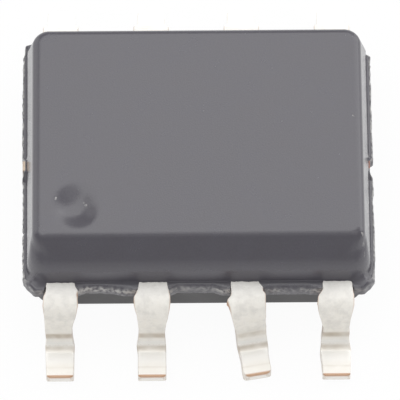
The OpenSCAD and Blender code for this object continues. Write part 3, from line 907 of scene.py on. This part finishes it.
def lead_stations(pin, column):
    """Path lengths and half widths to both sides, from the bonding tip inside the moulding to the toe."""
    stations = finger_of(column)
    corner = TOE_CORNERS.get(pin, TOE_CORNER_R)
    path = [(s, 0.0) for s in np.linspace(0, TOE_S - corner, PATH_STATIONS)]
    for angle in np.linspace(0, math.pi / 2, CORNER_STATIONS)[1:]:
        path.append((TOE_S - corner * (1 - math.sin(angle)), corner * (1 - math.cos(angle))))
    # A front lead is turned to face the camera, so its own left is on the photo's right
    more_right, more_left = EDGE_MORE.get(pin, (WHOLE_EDGE, WHOLE_EDGE))
    for s, cut in path:
        half = float(np.interp(s, WIDTH_S, WIDTH_HALF)) - cut
        left = half + float(np.interp(s, EDGE_S, more_left))
        right = half + float(np.interp(s, EDGE_S, more_right))
        stations.append((s, left, right))
    return stations


def lead_section(left, right, low, high, corner):
    """Rounded section of a lead, as sideways and thickness offsets, with the part of the section it is on."""
    turns = np.linspace(0, math.pi / 2, EDGE_POINTS + 2)[1:-1]
    heights = np.linspace(high - corner, low + corner, SIDE_POINTS)
    points = [(x, high, "top") for x in np.linspace(-left + corner, right - corner, TOP_POINTS)]
    points += [(right - corner * (1 - math.sin(a)), high - corner * (1 - math.cos(a)), "edge") for a in turns]
    points += [(right, t, "side") for t in heights]
    points += [(right - corner * (1 - math.cos(a)), low + corner * (1 - math.sin(a)), "edge") for a in turns]
    points += [(x, low, "under") for x in np.linspace(right - corner, -left + corner, UNDER_POINTS)]
    points += [(-left + corner * (1 - math.sin(a)), low + corner * (1 - math.cos(a)), "edge") for a in turns]
    points += [(-left, t, "side") for t in heights[::-1]]
    points += [(-left + corner * (1 - math.cos(a)), high - corner * (1 - math.sin(a)), "edge") for a in turns]
    return points


def heel_tan(s, pin):
    """How tanned the lead is across its heel and its foot."""
    turned = (s - HEEL_S) / (FOOT_S - HEEL_S)
    on_foot = (s - FOOT_S) / (TOE_S - FOOT_S)
    upper, lower = HEEL_MARKS.get(pin, BACK_HEEL_MARKS)
    heel = upper * band(turned, *UPPER_BAND) + lower * band(turned, *LOWER_BAND)
    return float(heel + FOOT_LINE_TAN * band(on_foot, *FOOT_LINE))


def front_painted_light(s):
    """How much painted light a front lead's tin carries: against the moulding's shade, between the heel's
    bands and where the foot starts.
    """
    turned = (s - HEEL_S) / (FOOT_S - HEEL_S)
    on_foot = (s - FOOT_S) / (TOE_S - FOOT_S)
    root = 1 - smooth_step(*ROOT_FADE, s)
    start = smooth_step(*FOOT_START, turned) * (1 - smooth_step(*FOOT_FADE, on_foot))
    return float(root + BETWEEN_BANDS_HIGHLIGHT * band(turned, *BETWEEN_BANDS) + start)


def station_looks(s, pin):
    """Values that the tin's material reads and that are the same all round a section."""
    in_front = pin <= SIDE_PINS
    plain_foot = 0.0 if in_front else float(smooth_step(HEEL_S, FOOT_S, s))
    return {
        "matte": float(1 - smooth_step(*MATTE_FADE, s)),
        "tan": heel_tan(s, pin) * (1 - plain_foot),
        "shine": float(band(s, *SHINE_AT)),
        # Back leads take the pale colour all over: painted light that makes them look overlit
        "pale_tin_and_painted_light": front_painted_light(s) if in_front else 1.0,
    }


def toe_line(depth):
    """Copper line along the top edge of a toe, by depth under its top."""
    return float(smooth_step(*LINE_DEPTH, depth))


def bare_copper(s, t, part, in_front):
    """How bare the copper is at a point of a lead."""
    on_side = BARE_PARTS.get(part, 0.0)
    stub = float(band(s, *STUB_AT))
    if not in_front:
        return on_side * BACK_STUB_BARE * stub
    line = float(smooth_step(*LINE_AT, s)) * toe_line(LEAD_T / 2 - t)
    return max(on_side * (SIDE_BARE + STUB_BARE * stub), LINE_BARE * line)


def add_toe_face(verts, faces, ring, looks, in_front):
    """Closes the toe with a face of its own points, in strips across it."""
    rim = verts[-ring:]
    first = len(verts)
    top_z = rim[0][2]
    for point in rim:
        verts.append(point)
        line = toe_line(top_z - point[2]) if in_front else 0.0
        looks["copper"].append(TOE_FACE_BARE + LINE_BARE * line)
        for key, value in TOE_FACE.items():
            looks[key].append(value)
    steps = 2 * EDGE_POINTS + SIDE_POINTS + 1
    right = [first + TOP_POINTS - 1 + i for i in range(steps + 1)]
    left = [first] + [first + ring - i for i in range(1, steps + 1)]
    faces.append(list(range(first, first + TOP_POINTS)) + [right[1], left[1]])
    for i in range(1, steps - 1):
        faces.append((left[i], right[i], right[i + 1], left[i + 1]))
    faces.append([left[steps - 1], right[steps - 1]] + list(range(right[steps], left[steps] + 1)))


def lead_tube(pin, column, stations):
    """Points of a lead, pointing to +Y, ring by ring along its stations, and the looks at each point."""
    in_front = pin <= SIDE_PINS
    middle_x = END_LEAD_X - column * PITCH
    verts = []
    looks = {"copper": [], "matte": [], "tan": [], "shine": [], "pale_tin_and_painted_light": []}
    for s, left, right in stations:
        u, z, slope = lead_centre(s)
        past = max(0.0, s - (TOE_S - TOE_R))
        low = -LEAD_T / 2 + TOE_R - math.sqrt(max(0.0, TOE_R ** 2 - past ** 2))
        shift = TOE_SHIFT.get(pin, 0.0) * float(smooth_step(SHIFT_START, TOE_S, s))
        bend = SPLAY * float(smooth_step(*SPLAY_AT, s)) if pin == SPLAYED_PIN else 0.0
        around = station_looks(s, pin)
        for x, t, part in lead_section(left, right, low, LEAD_T / 2, LEAD_EDGE_R):
            out, up = u + t * math.sin(slope), z + t * math.cos(slope)
            turned_x = x * math.cos(bend) - out * math.sin(bend) + shift
            turned_u = x * math.sin(bend) + out * math.cos(bend)
            verts.append((middle_x + turned_x, HALF_W + turned_u, up))
            looks["copper"].append(bare_copper(s, t, part, in_front))
            for key, value in around.items():
                looks[key].append(1.0 if key == "matte" and part == "side" else value)
    return verts, looks


def build_lead(pin, material):
    in_front = pin <= SIDE_PINS
    column = (pin - 1) % SIDE_PINS
    stations = lead_stations(pin, column)
    verts, looks = lead_tube(pin, column, stations)
    ring = len(verts) // len(stations)
    faces = tube_faces(len(stations), ring)
    faces.append(list(range(ring))[::-1])
    add_toe_face(verts, faces, ring, looks, in_front)
    verts = np.array(verts)
    if in_front:
        verts[:, :2] *= -1
    outside = np.abs(verts[:, 1]) > HALF_W
    copper, matte, shine = (np.array(looks[key]) for key in ("copper", "matte", "shine"))
    verts[:, 0] += ragged(verts, wave=0.05, seed=pin) * SIDE_FRAY * outside * copper
    verts[:, 2] += matte * (1 - shine) * ragged(verts, wave=0.09, seed=pin + 8) * TOP_WAVES * outside
    verts[:, 2] = np.maximum(verts[:, 2], 0)
    # The toe's face keeps to the last ring, so that the mesh stays closed
    verts[-ring:] = verts[-2 * ring:-ring]
    make_piece("tinned_lead_%d" % pin, verts, faces, material, "lead_%d" % pin, looks)


# Studio

IMAGE_PX = 400
PX_PER_MM = 71.79
# The camera looks so that the target shows at this place in the image. Angles here are in degrees.
TARGET = Vector((0, 0, 0.8))
TARGET_PX = Vector((197.6, 168.6))
CAMERA_ELEVATION = 58.2
CAMERA_AZIMUTH = -0.62
CAMERA_ROLL = -0.12
CAMERA_DISTANCE = 110
SENSOR_MM = 36
CLIP_M = (0.005, 10)

FLOOR_REACH = 250
FLOOR_LEVEL = -0.004
FLOOR_GREY = 0.95
# Share of plain white that the camera and reflections see in the floor. The rest keeps the part's shadow.
FLOOR_WHITE = 0.95

WORLD_LEVEL = 0.58
LAMP_DISTANCE = 80
# Soft boxes: azimuth, elevation, width, height, radiance and roll
LAMPS = {
    "back": (180, 60, 130, 62, 1.27, 30),
    "right": (122, 16, 70, 60, 1.3, 0),
    "left": (238, 17, 70, 60, 0.62, 0),
    "front": (0, 8, 130, 30, 0.3, 0),
    "top": (0, 86, 130, 22, 0.65, 0),
    "top_front": (0, 64, 130, 25, 0.22, 0),
}


def towards(azimuth, elevation):
    """Direction from the part, by degrees. Azimuth 0 is the camera's side and 90 is +X."""
    a, e = math.radians(azimuth), math.radians(elevation)
    return Vector((math.sin(a) * math.cos(e), -math.cos(a) * math.cos(e), math.sin(e)))


def add_camera():
    back = towards(CAMERA_AZIMUTH, CAMERA_ELEVATION)
    right = towards(CAMERA_AZIMUTH + 90, 0)
    up = back.cross(right)
    roll = math.radians(CAMERA_ROLL)
    right, up = (right * math.cos(roll) - up * math.sin(roll),
                 right * math.sin(roll) + up * math.cos(roll))
    eye = TARGET + back * CAMERA_DISTANCE
    middle = IMAGE_PX / 2
    aim = TARGET + (right * (middle - TARGET_PX.x) - up * (middle - TARGET_PX.y)) / PX_PER_MM
    back = (eye - aim).normalized()
    right = up.cross(back).normalized()
    up = back.cross(right)
    data = bpy.data.cameras.new("camera")
    data.sensor_width = SENSOR_MM
    data.lens = PX_PER_MM * CAMERA_DISTANCE / IMAGE_PX * SENSOR_MM
    data.clip_start, data.clip_end = CLIP_M
    camera = add_object("camera", data)
    camera.matrix_world = Matrix.Translation(eye * MM) @ Matrix((right, up, back)).transposed().to_4x4()
    bpy.context.scene.camera = camera


def add_softbox(name, azimuth, elevation, width, height, radiance, roll):
    """Area lamp that faces the part."""
    direction = towards(azimuth, elevation)
    lamp = bpy.data.lights.new(name, "AREA")
    lamp.shape = "RECTANGLE"
    lamp.size, lamp.size_y = width * MM, height * MM
    lamp.energy = radiance * math.pi * width * height * MM ** 2
    holder = add_object(name, lamp)
    holder.location = (TARGET + direction * LAMP_DISTANCE) * MM
    facing = direction.to_track_quat("Z", "Y") @ Quaternion((0, 0, 1), math.radians(roll))
    holder.rotation_euler = facing.to_euler()


def floor_material():
    material = bpy.data.materials.new("pale_floor")
    material.use_nodes = True
    tree = material.node_tree
    tree.nodes.clear()
    diffuse = add(tree, "ShaderNodeBsdfDiffuse", Color=(FLOOR_GREY, FLOOR_GREY, FLOOR_GREY, 1))
    glow = add(tree, "ShaderNodeEmission", Strength=1.0)
    rays = add(tree, "ShaderNodeLightPath").outputs
    seen = combine(tree, "MAXIMUM", rays["Is Glossy Ray"], rays["Is Transmission Ray"])
    seen = combine(tree, "MAXIMUM", rays["Is Camera Ray"], seen)
    blend = add(tree, "ShaderNodeMixShader")
    out = add(tree, "ShaderNodeOutputMaterial")
    tree.links.new(times(tree, seen, FLOOR_WHITE), blend.inputs[0])
    tree.links.new(diffuse.outputs[0], blend.inputs[1])
    tree.links.new(glow.outputs[0], blend.inputs[2])
    tree.links.new(blend.outputs[0], out.inputs["Surface"])
    return material


def add_floor():
    """Pale floor that keeps the part's soft shadow."""
    reach, level = FLOOR_REACH * MM, FLOOR_LEVEL * MM
    corners = [(-reach, -reach), (reach, -reach), (reach, reach), (-reach, reach)]
    mesh = bpy.data.meshes.new("floor")
    mesh.from_pydata([(x, y, level) for x, y in corners], [], [(0, 1, 2, 3)])
    mesh.materials.append(floor_material())
    floor = add_object("floor", mesh)


def add_world(level):
    world = bpy.data.worlds.new("studio")
    world.use_nodes = True
    world.node_tree.nodes["Background"].inputs["Color"].default_value = (level, level, level, 1)
    bpy.context.scene.world = world


def dress_inner_nodes():
    """Gives the CAD nodes inside the moulding their materials."""
    materials = {
        "die_paddle": copper_frame_material(),
        "die_attach": paste_material(),
        "die": plain_metal("silicon", SILICON, SILICON_DARK, roughness=0.15, size_mm=0.2),
        "bond_wire": plain_metal("gold_wire", GOLD, GOLD_DARK, roughness=0.2, size_mm=0.02),
    }
    for name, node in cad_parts.items():
        kind = "bond_wire" if name.startswith("bond_wire_") else name
        if kind in materials:
            node.data.materials.clear()
            node.data.materials.append(materials[kind])


build_moulding(moulding_material())
tin = lead_material()
for pin in range(1, 2 * SIDE_PINS + 1):
    build_lead(pin, tin)
dress_inner_nodes()

add_camera()
add_floor()
add_world(WORLD_LEVEL)
for lamp_name, lamp_settings in LAMPS.items():
    add_softbox(lamp_name, *lamp_settings)
bpy.context.scene.view_settings.view_transform = "Standard"
